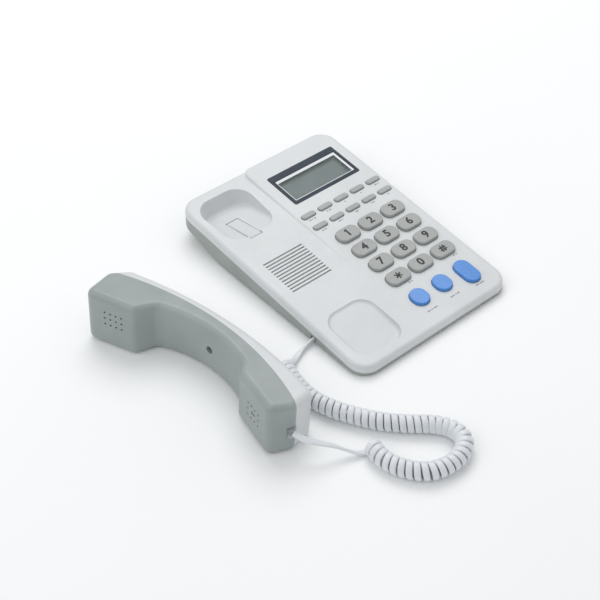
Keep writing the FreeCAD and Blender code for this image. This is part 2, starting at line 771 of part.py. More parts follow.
def heel_line():
    """Underside of the lower case: level at the front, rising under the back."""
    return [("-" + HALF_D + " - 20", DEEP), (HALF_D + " + 20", DEEP),
            (HALF_D + " + 20", underside("(%s + 20)" % HALF_D)),
            ("heel_start", "floor_gap"), ("-" + HALF_D + " - 20", "floor_gap")]


def floor_block():
    """Inner space of the lower case, standing on its floor."""
    body = slab("floor_space", "base_width - 2 * wall", "base_depth - 2 * wall",
                "(base_corner - wall)", "-10", "100")
    line = [(x, y) for x, y in heel_line()]
    raised = line[:2] + [(x, "(%s + floor_wall)" % y) for x, y in line[2:]]
    side_pocket(body, raised)
    return body


def ringer_slot():
    return box("ringer_slot", "base_width / 2 - wall - 1", "60 - 5", "8", "wall + 2", "10", "3.2")


def make_ringer_switch():
    knob = box("ringer_knob", "base_width / 2 - wall - 1.5", "60 - 2.6", "8.3", "wall + 2.1", "5.2", "2.6")
    plate = box("ringer_plate", "base_width / 2 - wall - 1.7", "60 - 7.8", "7", "1.5", "15.6", "5.2")
    keep(fuse("ringer_switch", [knob, plate]))


def make_case():
    form = case_outside()
    cavity = case_cavity()
    recesses = recess_pair("0", "")
    tubs = recess_pair("tub_wall", "_wall")
    lower_posts, upper_posts, bores = screw_posts()
    battery_outside, battery_inside, door_path = battery_box()
    jack_outside, jack_inside, channel, notch = base_jack_parts()
    line_block, line_space = line_jack()
    ears, pin_holes = lever_ears()

    upper = common("upper_form", form, [half_space("above_seam", above(seam_level, seam_level))])
    shell = cut("upper_shell", upper, [cavity])
    walls = common("recess_walls", form, [fuse("recess_blocks", tubs)])
    inner = fuse("upper_case_solid", [shell, walls] + upper_posts + ears)
    openings = recesses + grille_slots() + key_openings() + display_openings()
    openings += [lever_slot(), line_space] + pin_holes + bores
    top = cut("top_case", inner, openings)
    keep(top)

    lower = common("lower_form", form, [half_space("below_seam", below(seam_level))])
    hull = cut("lower_hull", lower, [half_space("below_heel", heel_line())])
    tray = cut("lower_tray", hull, [floor_block()])
    solid = fuse("lower_case_solid", [tray, battery_outside] + lower_posts)
    bottom = cut("bottom_case", solid, [battery_inside, door_path, channel, notch, line_space,
                                        ringer_slot()] + bores + foot_seats())
    keep(bottom)

    keep(cut("handset_jack", jack_outside, [jack_inside]))
    keep(cut("line_jack", line_block, [line_space]))
    base_plug = plug("base_plug", "plug_length")
    keep(place(base_plug, "-69.8", "cord_exit", "1.5"))


# ------------------------------------------------------------------ handset

HAND_LEAN = "(90 - hand_draft)"
HAND_LIFT = "(hand_width / 2 * cos(hand_draft) - hand_face * sin(hand_draft))"
HAND_PLACE = ("placement(vector(hand_x; hand_y; %s); rotationz(hand_yaw) * rotationx(%s))"
              % (HAND_LIFT, HAND_LEAN))


def bind_place(thing, text):
    """Bind a whole placement, written with the size names."""
    words = {"placement", "vector", "rotationx", "rotationy", "rotationz"}
    text = re.sub(r"[a-z_]+", lambda m: m[0] if m[0] in words else bound(m[0]), text)
    thing.setExpression("Placement", text)
    return thing


def on_handset(thing, x="0", y="0", z="0", tilt="0"):
    """Put a piece in the handset's own frame: X to the mouth end, Z to its faces."""
    local = "placement(vector(%s; %s; %s); rotationy(%s))" % (x, y, z, tilt)
    return bind_place(thing, HAND_PLACE + " * " + local)


# Side outline of the handset, clockwise from the ear end, with each corner's way inward.
HAND_CORNERS = [
    ("-hand_half + 4", "11.5", 0.65, 0.86, "6"),
    ("-hand_half - ear_bulge", "25", 1.07, 0.16, "6"),
    ("-hand_half + 1", "ear_face_outer", 0.74, -1.23, "6"),
    ("ear_face_end", "ear_face_inner", -0.73, -0.84, "5"),
    ("ear_step", "grip_ear", -0.77, -0.75, "7", "grip_arc"),
    ("grip_mouth_end", "grip_mouth", 0.62, -0.82, "7"),
    ("mouth_face_start", "mouth_face_inner", 0.59, -0.86, "3"),
    ("mouth_face_end", "mouth_face_outer", -0.46, -1.2, "5"),
    ("hand_half - 0.5", "mouth_nose", -1.01, -0.25, "4"),
    ("hand_half - 1.5", "11.5", -0.96, 0.77, "6", "-hand_back_arc"),
]


def hand_form(label, inset):
    """Handset form less an inset all round: side outline first, then the drafted section."""
    body = new_body(label)
    sketch = new_sketch(body, "XZ")
    corners = []
    for corner in HAND_CORNERS:
        x = "(%s + %s * %s)" % (corner[0], corner[2], inset)
        z = "(%s + %s * %s)" % (corner[1], corner[3], inset)
        arc = ["(%s + %s)" % (corner[5], inset)] if len(corner) == 6 else []
        corners.append((x, z, *arc))
    outline(sketch, corners)
    extrude(body, "Pad", sketch, "60", both=True)
    for corner, (x, z, *arc) in zip(HAND_CORNERS, corners):
        spot = V(val(x), 0, val(z))

        def upright(edge):
            ends = [v.Point for v in edge.Vertexes]
            return all(abs(p.x - spot.x) + abs(p.z - spot.z) < 0.01 for p in ends)

        round_edges(body, corner[4], upright)
    sketch = new_sketch(body, "YZ")
    low, high = "-20", "80"
    half = "(hand_width / 2 - (%s) / cos(hand_draft) + (%s - hand_face) * tan(hand_draft))"
    outline(sketch, [("-60", low + " - 9"), ("60", low + " - 9"), ("60", high + " + 9"),
                     ("-60", high + " + 9")])
    outline(sketch, [("-" + half % (inset, low), low), (half % (inset, low), low),
                     (half % (inset, high), high), ("-" + half % (inset, high), high)])
    extrude(body, "Pocket", sketch, "400", both=True)
    return body


def round_sides(body):
    """Round the rim on both sides, where they meet the faces, the ends and the back."""
    def rim(edge):
        middle = edge.valueAt((edge.FirstParameter + edge.LastParameter) / 2)
        return abs(abs(middle.y) - section_half(middle.z)) < 0.02

    round_edges(body, "hand_round", rim)
    return body


def section_half(z):
    return val("hand_width / 2 + (%r - hand_face) * tan(hand_draft)" % z)


PART_LINE = [("-hand_half - 20", "part_line_ear + 7"), ("-hand_half - 2", "part_line_ear", "part_line_arc"),
             ("hand_half - 1", "part_line_mouth"), ("hand_half + 20", "part_line_mouth + 7")]


def past_part_line(label, upper):
    """Everything on one side of the curved joint between the handset's two shells."""
    body = new_body(label)
    sketch = new_sketch(body, "XZ")
    far = "100" if upper else "-60"
    outline(sketch, PART_LINE + [("hand_half + 20", far), ("-hand_half - 20", far)])
    extrude(body, "Pad", sketch, "100", both=True)
    return body


def hole_grid(label, skip_middle, slot=None):
    """Round sound holes through a face, in the handset's frame tilted like that face."""
    body = new_body(label)
    sketch = new_sketch(body, "XY")
    for row in range(4):
        for column in (-1, 0, 1):
            if not (skip_middle and column == 0 and row in (1, 2)):
                circle(sketch, "hole_pitch * %r" % (row - 1.5), "hole_row * %d" % column, "hole_radius")
    if slot:
        rounded(sketch, slot, "1.4", "0.69")
    extrude(body, "Pad", sketch, "16", both=True)
    return body


EAR_SLOPE = "atan((ear_face_outer - ear_face_inner) / (hand_half + ear_face_end))"
MOUTH_SLOPE = "-atan((mouth_face_outer - mouth_face_inner) / (mouth_face_end - mouth_face_start))"
EAR_MIDDLE, MOUTH_MIDDLE = "-68.5", "60.5"
EAR_LEVEL = "(ear_face_outer - (%s + hand_half) * tan(%s))" % (EAR_MIDDLE, EAR_SLOPE)
MOUTH_LEVEL = "(mouth_face_inner - (%s - mouth_face_start) * tan(%s))" % (MOUTH_MIDDLE, MOUTH_SLOPE)
JACK_END = "(hand_half - 6.4)"
PART_MIDDLE = ("((part_line_ear + part_line_mouth) / 2 - part_line_arc"
               " + sqrt(part_line_arc ^ 2 - (hand_half + 0.5) ^ 2))")
SCREW_SEAT = "(%s + 3.2)" % PART_MIDDLE


def hand_jack_parts():
    """Jack in the mouth end; its clip side lies against the joint between the shells."""
    level = "hand_jack_level"
    block = box("end_jack_block", "0", "0", "0", "12.4", "12", "9")
    space = box("end_jack_space", "0", "0", "0", "30", "plug_width + 2 * plug_gap",
                "plug_height + 2 * plug_gap")
    on_handset(block, JACK_END + " - 12.4", "jack_shift - 6", level + " - 4.5")
    on_handset(space, JACK_END + " - 8.5", "jack_shift - plug_width / 2 - plug_gap",
               "%s - plug_height / 2 - plug_gap" % level)
    return block, space


def make_handset():
    form = round_sides(hand_form("handset_form", "0"))
    hollow = hand_form("handset_space", "hand_wall")
    lower = past_part_line("behind_part_line", False)
    upper = past_part_line("before_part_line", True)
    ear_holes = hole_grid("ear_holes", False)
    mouth_holes = hole_grid("mouth_holes", True, slot="5")
    boss = disc("screw_boss", "-1.5", "0", "3.2", "1", "%s - 1" % PART_MIDDLE)
    bore = disc("screw_space", "-1.5", "0", "1.3", "3", "40")
    head = disc("screw_head_space", "-1.5", "0", "2.9", SCREW_SEAT, "40")
    front_boss = disc("front_screw_boss", "-1.5", "0", "4.4", "%s + 0.1" % PART_MIDDLE, "8.2")
    block, space = hand_jack_parts()
    on_handset(ear_holes, EAR_MIDDLE + " + ear_holes_shift", "ear_holes_shift", EAR_LEVEL, EAR_SLOPE)
    on_handset(mouth_holes, MOUTH_MIDDLE, "0", MOUTH_LEVEL, MOUTH_SLOPE)
    for thing in (form, hollow, lower, upper, boss, bore, head, front_boss):
        on_handset(thing)
    back = common("back_shell_solid", form, [lower])
    front = common("front_shell_solid", form, [upper])
    back_shell = cut("back_shell_hollow", back, [hollow])
    keep(cut("handset_outer", fuse("back_shell_with_boss", [back_shell, boss]), [bore, space]))
    front_shell = fuse("front_shell_with_boss", [cut("front_shell_hollow", front, [hollow]), front_boss])
    keep(cut("handset_inner", front_shell, [ear_holes, mouth_holes, bore, head, space]))
    keep(cut("handset_end_jack", block, [space]))
    hand_fittings()


def hand_fittings():
    receiver = disc("receiver_capsule", "0", "0", "13", "-hand_wall - 8.8", "8")
    keep(on_handset(receiver, EAR_MIDDLE, "0", EAR_LEVEL, EAR_SLOPE))
    mic = disc("handset_microphone", "0", "0", "4.85", "-hand_wall - 5.4", "5")
    keep(on_handset(mic, MOUTH_MIDDLE, "0", MOUTH_LEVEL, MOUTH_SLOPE))
    weight = slab("handset_weight", "26", "11", "1", "4.4", "7", "18", "0")
    keep(on_handset(weight))
    screw = disc("handset_screw", "-1.5", "0", "2.7", SCREW_SEAT, "1.4")
    sketch = new_sketch(screw, "XY", SCREW_SEAT)
    circle(sketch, "-1.5", "0", "1.25")
    extrude(screw, "Pad", sketch, "6", reverse=True)
    keep(on_handset(screw))
    end_plug = plug("handset_plug", "plug_length")
    place_text = "placement(vector(%s; jack_shift; %s); rotationz(180))"
    local = place_text % ("hand_half + 0.5", "hand_jack_level - plug_height / 2")
    keep(bind_place(end_plug, HAND_PLACE + " * " + local))


# ------------------------------------------------------------------ cord

# The cord's route, as points chosen along it.  The curly stretch is one closed tube of its
# outer diameter; the straight stretches at both ends are tubes of the wire.
BASE_TAIL = [(-69.8, -52, 3.4), (-78, -52.3, 2.9), (-87, -54.8, 1.9), (-95.5, -58.5, 1.8),
             (-103.2, -62.9, 1.9)]
CURLY = [(-105.6, -57.5, 6.3), (-109.7, -71.1, 6.3), (-112.2, -93.3, 6.3), (-107.2, -111.5, 6.3),
         (-98.7, -127.3, 6.3), (-89.1, -141.7, 6.3), (-77.2, -153.6, 6.3), (-64.5, -164.5, 6.3),
         (-58.8, -176.1, 6.3), (-60.3, -186.4, 6.3), (-70, -192.8, 6.3), (-82.4, -193.9, 6.3),
         (-94.1, -190.7, 6.3), (-102.2, -183.8, 6.3), (-109.1, -172.1, 6.3), (-111.7, -159.2, 6.3),
         (-108.2, -148.1, 6.3)]
HAND_TAIL = [(-146.45, -118.14, 18.01), (-145.43, -126.24, 18.01), (-139, -132.4, 15.6),
             (-129, -137.6, 9.8), (-121.7, -144, 4.5), (-115.8, -149, 1.9), (-109.5, -151.5, 1.8)]


def cord_path(label, points):
    """Straight runs joined by tangent arcs as large as the runs on each side allow."""
    spots = [V(*p) for p in points]
    edges, start, radii = [], spots[0], []
    for before, here, after in zip(spots, spots[1:], spots[2:]):
        back, ahead = before - here, after - here
        reach = 0.45 * min(back.Length, ahead.Length)
        turn = math.pi - back.getAngle(ahead)
        back.normalize()
        ahead.normalize()
        first, last = here + back * reach, here + ahead * reach
        inward = back + ahead
        inward.normalize()
        radius = reach / math.tan(turn / 2)
        radii.append(round(radius, 1))
        centre = here + inward * math.hypot(radius, reach)
        middle = centre - inward * radius
        edges.append(Part.LineSegment(start, first).toShape())
        edges.append(Part.Arc(first, middle, last).toShape())
        start = last
    edges.append(Part.LineSegment(start, spots[-1]).toShape())
    print(label, "arc radii", radii)
    return Part.Wire(edges)


def cord_tube(label, points, size):
    path = cord_path(label, points)
    direction = V(*points[1]) - V(*points[0])
    section = Part.Wire(Part.makeCircle(val(size) / 2, V(*points[0]), direction))
    tube = path.makePipeShell([section], True, False)
    expected = math.pi * val(size) ** 2 / 4 * path.Length
    print(label, "length", round(path.Length, 1), "volume / expected", round(tube.Volume / expected, 4))
    thing = doc.addObject("Part::Feature", label)
    thing.Label = label
    thing.Shape = tube
    keep(thing)


def make_cord():
    cord_tube("cord_tail_base", BASE_TAIL, "wire_diameter")
    cord_tube("cord_coil", CURLY, "coil_diameter")
    cord_tube("cord_tail_handset", HAND_TAIL, "wire_diameter")


# ------------------------------------------------------------------ build and export

def check_model():
    doc.recompute()
    for thing in doc.Objects:
        if "Invalid" in thing.State or "Error" in thing.State:
            raise RuntimeError("failed object: " + thing.Label)
    for name, thing in parts.items():
        if thing.Shape.isNull() or not thing.Shape.isValid() or not thing.Shape.Solids:
            raise RuntimeError("bad shape: " + name)


def export():
    os.makedirs("parts", exist_ok=True)
    for name, thing in parts.items():
        thing.Shape.exportStep("parts/%s.step" % name)


make_case()
make_keys()
make_keypad()
make_display()
make_battery()
make_lever()
make_hook_switch()
make_speaker()
make_boards()
make_ringer_switch()
make_screws()
make_feet()
make_handset()
make_cord()
check_model()
export()
print(len(parts), "sub-parts")
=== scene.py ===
"""Looks of the corded desk phone: camera, cord, materials, printed marks, floor and light."""
import math

import bpy
import numpy as np
from mathutils import Matrix, Vector


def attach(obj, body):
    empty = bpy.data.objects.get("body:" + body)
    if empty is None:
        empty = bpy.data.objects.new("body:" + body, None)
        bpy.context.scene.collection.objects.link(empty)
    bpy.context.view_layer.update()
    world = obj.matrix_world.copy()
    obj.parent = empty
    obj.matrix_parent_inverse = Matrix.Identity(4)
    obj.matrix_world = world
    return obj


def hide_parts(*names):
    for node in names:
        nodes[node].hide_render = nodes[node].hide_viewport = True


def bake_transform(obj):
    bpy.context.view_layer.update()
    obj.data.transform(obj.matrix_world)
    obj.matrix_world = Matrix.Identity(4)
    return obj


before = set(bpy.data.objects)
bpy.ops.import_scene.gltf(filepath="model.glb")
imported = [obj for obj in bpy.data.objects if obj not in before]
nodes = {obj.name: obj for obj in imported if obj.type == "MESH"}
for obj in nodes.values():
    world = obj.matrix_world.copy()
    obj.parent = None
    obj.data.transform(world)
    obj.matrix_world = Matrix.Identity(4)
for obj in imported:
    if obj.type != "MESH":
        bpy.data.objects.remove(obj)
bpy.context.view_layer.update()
scene = bpy.context.scene

# ---------------------------------------------------------------- camera
CAMERA_AT = (-0.4933, -0.5282, 0.6406)
LENS, SENSOR = 78.0, 36
azimuth, elevation, roll = (math.radians(v) for v in (-40.64, 43.37, 0.066))
back = Vector((math.sin(azimuth) * math.cos(elevation),
               -math.cos(azimuth) * math.cos(elevation), math.sin(elevation)))
right = Vector((math.cos(azimuth), math.sin(azimuth), 0))
up = back.cross(right)
right, up = (right * math.cos(roll) + up * math.sin(roll),
             up * math.cos(roll) - right * math.sin(roll))
camera_data = bpy.data.cameras.new("camera")
camera_data.lens, camera_data.sensor_width = LENS, SENSOR
camera_data.clip_start, camera_data.clip_end = 0.01, 20
camera = bpy.data.objects.new("camera", camera_data)
turn = Matrix((right, up, back)).transposed().to_4x4()
camera.matrix_world = Matrix.Translation(CAMERA_AT) @ turn
scene.collection.objects.link(camera)
scene.camera = camera
scene.view_settings.view_transform = "Standard"


# ---------------------------------------------------------------- pieces
def add_mesh(name, verts, faces, smooth=True):
    mesh = bpy.data.meshes.new(name)
    mesh.from_pydata([tuple(v) for v in verts], [], faces)
    mesh.update()
    mesh.polygons.foreach_set("use_smooth", [smooth] * len(mesh.polygons))
    thing = bpy.data.objects.new(name, mesh)
    scene.collection.objects.link(thing)
    return thing


def join_parts(name, parts):
    """One object from (vertices, faces) pairs."""
    verts, faces = [], []
    for v, f in parts:
        faces += [tuple(i + len(verts) for i in face) for face in f]
        verts += [tuple(p) for p in v]
    return add_mesh(name, verts, faces, smooth=False)


# ---------------------------------------------------------------- cord
BASE_TAIL = [(-.0698, -.052, .0034), (-.078, -.0523, .0029), (-.087, -.0548, .0022),
             (-.0945, -.0582, .0024), (-.0992, -.0606, .0048), (-.1018, -.0622, .0080)]
CURLY = [(-.1056, -.0575, .0063), (-.1097, -.0711, .0063), (-.1122, -.0933, .0063),
         (-.1072, -.1115, .0063), (-.0987, -.1273, .0063), (-.0891, -.1417, .0063),
         (-.0772, -.1536, .0063), (-.0645, -.1645, .0063), (-.0588, -.1761, .0063),
         (-.0603, -.1864, .0063), (-.07, -.1928, .0063), (-.0824, -.1939, .0063),
         (-.0941, -.1907, .0063), (-.1022, -.1838, .0063), (-.1091, -.1721, .0063),
         (-.1117, -.1592, .0063), (-.1082, -.1481, .0063)]
HAND_TAIL = [(-.14645, -.11814, .01801), (-.14543, -.12624, .01801), (-.139, -.1324, .0156),
             (-.129, -.1376, .0098), (-.1217, -.144, .0045), (-.1158, -.149, .0019),
             (-.1095, -.1515, .0018)]
WIDTH, THICK = 0.0043, 0.0021
COIL_RADIUS = 0.0062  # outside
TURN_RADIUS, PITCH = COIL_RADIUS - THICK / 2, 0.0048
TURN_POINTS = 40  # along each turn of the coil
RING = 14  # around the jacket
DROPPED = 3  # points left out of each tail where it meets the coil
SOFT_SPAN, SOFT_PASSES = 14, 14  # points on each side of a meeting, and rounds of averaging
TAIL_STEP, AXIS_STEP, AHEAD = 0.0008, 0.0001, 0.001
ABOVE_FLOOR = 0.0001


def smooth_line(points, step):
    """The NURBS line that the route's points control, read from Blender, at even steps."""
    data = bpy.data.curves.new("route", "CURVE")
    data.dimensions, data.resolution_u = "3D", 24
    spline = data.splines.new("NURBS")
    spline.points.add(len(points) - 1)
    for point, place in zip(spline.points, points):
        point.co = (*place, 1)
    spline.order_u = 3
    spline.use_endpoint_u = True
    thing = bpy.data.objects.new("route", data)
    scene.collection.objects.link(thing)
    mesh = bpy.data.meshes.new_from_object(thing)
    line = np.array([v.co for v in mesh.vertices], float)
    bpy.data.objects.remove(thing)
    run = np.concatenate([[0], np.cumsum(np.linalg.norm(np.diff(line, axis=0), axis=1))])
    even = np.linspace(0, run[-1], max(2, int(round(run[-1] / step)) + 1))
    return np.stack([np.interp(even, run, line[:, k]) for k in range(3)], 1), even


def soften(values, times):
    """Averages each point with its neighbours, fully in the middle and not at all at the ends."""
    rounder = values.copy()
    for _ in range(times):
        rounder[1:-1] = 0.25 * rounder[:-2] + 0.5 * rounder[1:-1] + 0.25 * rounder[2:]
    share = np.sin(np.linspace(0, math.pi, len(values)))[:, None] ** 2
    return values + (rounder - values) * share


first, _ = smooth_line(BASE_TAIL, TAIL_STEP)
last, _ = smooth_line(HAND_TAIL, TAIL_STEP)
last = last[::-1]
axis_line, axis_run = smooth_line(CURLY, AXIS_STEP)
UP = np.array([0, 0, 1.0])
begin_at, start_angle = 0.0046, math.radians(40)
finish_at = axis_run[-1] - 0.0022
LAST_PART = (270 - 40) / 360  # the last turn ends at the coil's underside
turns = round((finish_at - begin_at) / PITCH - LAST_PART) + LAST_PART
pitch = (finish_at - begin_at) / turns
helix, helix_out = [], []
for angle in np.arange(0, turns * 2 * math.pi, 2 * math.pi / TURN_POINTS):
    along = begin_at + angle / (2 * math.pi) * pitch
    centre = np.array([np.interp(along, axis_run, axis_line[:, k]) for k in range(3)])
    ahead = np.array([np.interp(along + AHEAD, axis_run, axis_line[:, k]) -
                      np.interp(along - AHEAD, axis_run, axis_line[:, k]) for k in range(3)])
    side = np.cross(ahead / np.linalg.norm(ahead), UP)
    side = -side / np.linalg.norm(side)
    out = side * math.cos(start_angle + angle) + UP * math.sin(start_angle + angle)
    wobble = 1 + 0.012 * math.sin(angle * 0.137) + 0.008 * math.sin(angle * 0.41)
    helix.append(centre + out * TURN_RADIUS * min(1, wobble))
    helix_out.append(out)
helix, helix_out = np.array(helix), np.array(helix_out)
first_share = np.linspace(0, 1, len(first))[:, None]
first_out = (np.array([-0.35, 0.9, 0.15]) * (1 - first_share) +
             (0.77 * np.array([.957, -.29, 0]) + 0.64 * UP) * first_share)
# the ribbon lies flat under the coil, stands on edge just past it, and faces the front at the plug
share = np.linspace(0, 1, len(last))
TWIST = [(0, 0, -1), (-.55, -.40, -.70), (-.20, .05, -.98), (.47, .55, -.69)]
last_out = np.stack([np.interp(share, (0, .3, .6, 1), [t[k] for t in TWIST]) for k in range(3)], 1)
line = np.concatenate([first[:-DROPPED], helix, last[DROPPED:]])
outs = np.concatenate([first_out[:-DROPPED], helix_out, last_out[DROPPED:]])
coil_begins = len(first) - DROPPED
for meeting in (coil_begins, coil_begins + len(helix)):
    span = slice(meeting - SOFT_SPAN, meeting + SOFT_SPAN)
    line[span] = soften(line[span], SOFT_PASSES)
    outs[span] = soften(outs[span], SOFT_PASSES)
line[:, 2] = np.maximum(line[:, 2], THICK / 2 + ABOVE_FLOOR)
heading = np.gradient(line, axis=0)
heading /= np.linalg.norm(heading, axis=1)[:, None]
outs -= heading * (outs * heading).sum(1)[:, None]
outs /= np.linalg.norm(outs, axis=1)[:, None]
across = np.cross(heading, outs)
cord_verts, cord_faces = [], []
for place, wide, thick in zip(line, across, outs):
    for k in range(RING):
        c, s = math.cos(2 * math.pi * k / RING), math.sin(2 * math.pi * k / RING)
        x = math.copysign(abs(c) ** 0.6, c) * WIDTH / 2
        y = math.copysign(abs(s) ** 0.75, s) * THICK / 2
        cord_verts.append(place + wide * x + thick * y)
for i in range(len(line) - 1):
    for k in range(RING):
        n = (k + 1) % RING
        cord_faces.append((i * RING + k, i * RING + n, (i + 1) * RING + n, (i + 1) * RING + k))
cord_faces.append(tuple(range(RING))[::-1])
cord_faces.append(tuple((len(line) - 1) * RING + k for k in range(RING)))
cord_verts = np.array(cord_verts)
cord_verts[:, 2] = np.maximum(cord_verts[:, 2], ABOVE_FLOOR)
cord = add_mesh("curly_cord", cord_verts, cord_faces)
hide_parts("cord_tail_base", "cord_coil", "cord_tail_handset")
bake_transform(cord)


# ---------------------------------------------------------------- materials
def material(name):
    mat = bpy.data.materials.new(name)
    mat.use_nodes = True
    tree = mat.node_tree
    shader = tree.nodes["Principled BSDF"]
    return mat, tree, shader


def noise(tree, scale, detail=2.0, rough=0.5):
    where = tree.nodes.new("ShaderNodeTexCoord")
    cloud = tree.nodes.new("ShaderNodeTexNoise")
    cloud.inputs["Scale"].default_value = scale
    cloud.inputs["Detail"].default_value = detail
    cloud.inputs["Roughness"].default_value = rough
    tree.links.new(where.outputs["Object"], cloud.inputs["Vector"])
    return cloud.outputs["Fac"]


def spread(tree, source, low, high):
    """Source mapped to a span of values."""
    mapped = tree.nodes.new("ShaderNodeMapRange")
    mapped.inputs["From Min"].default_value = 0.3
    mapped.inputs["From Max"].default_value = 0.7
    mapped.inputs["To Min"].default_value = low
    mapped.inputs["To Max"].default_value = high
    tree.links.new(source, mapped.inputs["Value"])
    return mapped.outputs["Result"]


def linear(colour):
    """An sRGB colour of 0 to 255 as linear values, with its alpha."""
    return [((c / 255 + 0.055) / 1.055) ** 2.4 if c > 10 else c / 255 / 12.92
            for c in colour] + [1]


def two_tone(tree, source, one, other):
    """A colour that drifts from one to other with source."""
    ramp = tree.nodes.new("ShaderNodeValToRGB")
    ramp.color_ramp.elements[0].position, ramp.color_ramp.elements[1].position = 0.35, 0.65
    ramp.color_ramp.elements[0].color = linear(one)
    ramp.color_ramp.elements[1].color = linear(other)
    tree.links.new(source, ramp.inputs["Fac"])
    return ramp.outputs["Color"]


def plastic(name, one, other, rough=(0.4, 0.5), grain=2200, depth=0.00002, strength=0.35,
            patch=35, specular=0.5, coat=0.0):
    """Moulded plastic: a spark-eroded grain, soft flow patches and a gloss that varies a little."""
    mat, tree, shader = material(name)
    tree.links.new(two_tone(tree, noise(tree, patch, 4), one, other), shader.inputs["Base Color"])
    tree.links.new(spread(tree, noise(tree, patch * 9, 3), *rough), shader.inputs["Roughness"])
    fine = tree.nodes.new("ShaderNodeBump")
    fine.inputs["Strength"].default_value = strength
    fine.inputs["Distance"].default_value = depth
    tree.links.new(noise(tree, grain, 3, 0.6), fine.inputs["Height"])
    flow = tree.nodes.new("ShaderNodeBump")
    flow.inputs["Strength"].default_value = 0.12
    flow.inputs["Distance"].default_value = 0.0004
    tree.links.new(noise(tree, 60, 1), flow.inputs["Height"])
    tree.links.new(fine.outputs["Normal"], flow.inputs["Normal"])
    tree.links.new(flow.outputs["Normal"], shader.inputs["Normal"])
    shader.inputs["Specular IOR Level"].default_value = specular
    shader.inputs["Coat Weight"].default_value = coat
    shader.inputs["Coat Roughness"].default_value = 0.15
    return mat


def metal(name, one, other, rough):
    mat = plastic(name, one, other, rough, 900, 0.00001, 0.3, 180)
    mat.node_tree.nodes["Principled BSDF"].inputs["Metallic"].default_value = 1.0
    return mat


LOOKS = {
    "light_shell": plastic("shell_white", (211, 214, 215), (216, 219, 220), (0.36, 0.46)),
    "grey_case": plastic("case_grey", (150, 157, 153), (157, 164, 160), (0.42, 0.52)),
    "handset_grey": plastic("handset_grey", (150, 158, 157), (158, 166, 164), (0.33, 0.44)),
    "blue_key": plastic("key_blue", (64, 132, 210), (72, 140, 218), (0.24, 0.34), 1500, coat=0.25),
    "grey_key": plastic("key_grey", (162, 165, 163), (168, 171, 169), (0.42, 0.52), 1800),
    "display_frame": plastic("display_frame", (38, 50, 62), (44, 57, 70), (0.42, 0.52), 900,
                             0.00001, specular=0.3),
    "display_glass": plastic("display_glass", (76, 94, 90), (86, 101, 100), (0.3, 0.4), 3000,
                             0.000006, 0.3, 22, specular=0.3),
    "rubber": plastic("foot_rubber", (44, 45, 47), (54, 55, 57), (0.7, 0.85), 1200, 0.00004, 0.6),
    "circuit_board": plastic("board_green", (30, 84, 52), (38, 98, 60), (0.35, 0.5), 700),
    "black_plastic": plastic("plastic_black", (28, 29, 31), (36, 37, 39), (0.35, 0.5), 1500),
    "cord_jacket": plastic("cord_jacket", (222, 226, 230), (229, 232, 235), (0.3, 0.4), 1600,
                           0.000012, 0.3, 60),
    "steel": metal("steel", (176, 178, 180), (196, 198, 200), (0.25, 0.4)),
    "battery_can": plastic("battery_can", (64, 92, 128), (72, 102, 138), (0.3, 0.4), 800),
}

lens_mat, tree, shader = material("display_lens")
tree.links.new(two_tone(tree, noise(tree, 40, 3), (208, 216, 216), (216, 222, 222)),
               shader.inputs["Base Color"])
tree.links.new(spread(tree, noise(tree, 300, 3), 0.03, 0.08), shader.inputs["Roughness"])
shader.inputs["Alpha"].default_value = 0.07
LOOKS["display_lens"] = lens_mat

plug_mat, tree, shader = material("plug_clear")
tree.links.new(two_tone(tree, noise(tree, 400, 3), (206, 214, 214), (222, 228, 228)),
               shader.inputs["Base Color"])
tree.links.new(spread(tree, noise(tree, 500, 3), 0.06, 0.16), shader.inputs["Roughness"])
shader.inputs["Alpha"].default_value = 0.4
shader.inputs["Coat Weight"].default_value = 0.3
LOOKS["plug_clear"] = plug_mat

for node in nodes.values():
    for place in node.material_slots:
        place.material = LOOKS[place.material.name.split(".")[0]]
cord.data.materials.append(LOOKS["cord_jacket"])
# the speaker's front is covered with a pale dust cloth
nodes["hands_free_speaker"].material_slots[0].material = plastic(
    "speaker_cloth", (176, 176, 168), (190, 190, 182), (0.75, 0.9), 1400, 0.00006, 0.7)

ink_dark = plastic("ink_dark", (30, 32, 36), (40, 42, 46), (0.45, 0.6), 2500)
ink_grey = plastic("ink_grey", (150, 154, 160), (160, 164, 170), (0.45, 0.6), 2500)

# ---------------------------------------------------------------- printed marks
PANEL_TILT, FRONT_LEVEL, HALF_DEPTH = math.radians(5.6), 0.0088, 0.1025
PANEL = (Matrix.Translation((0, 0, FRONT_LEVEL + HALF_DEPTH * math.tan(PANEL_TILT))) @
         Matrix.Rotation(PANEL_TILT, 4, "X"))
RIM = 0.0003  # how far under a key's top its rim is still read
SIDES = 16  # of a stroke's outline
DIGIT_SIZE, DIGIT_HALF_FILM, BOLD = 0.0094, 0.000025, 0.00032
STROKE_FILM = 0.00006
STROKE_GAP = 0.6  # millimetres, as the stroke lengths below


def centre_of(node):
    """A key's centre and top level, in the sloped panel's own frame."""
    flat = PANEL.inverted()
    points = np.array([flat @ v.co for v in nodes[node].data.vertices])
    top = points[:, 2].max()
    rim = points[points[:, 2] > top - RIM]
    middle_x = rim[:, 0].mean() / 2 + (rim[:, 0].max() + rim[:, 0].min()) / 4
    return middle_x, (rim[:, 1].max() + rim[:, 1].min()) / 2, top


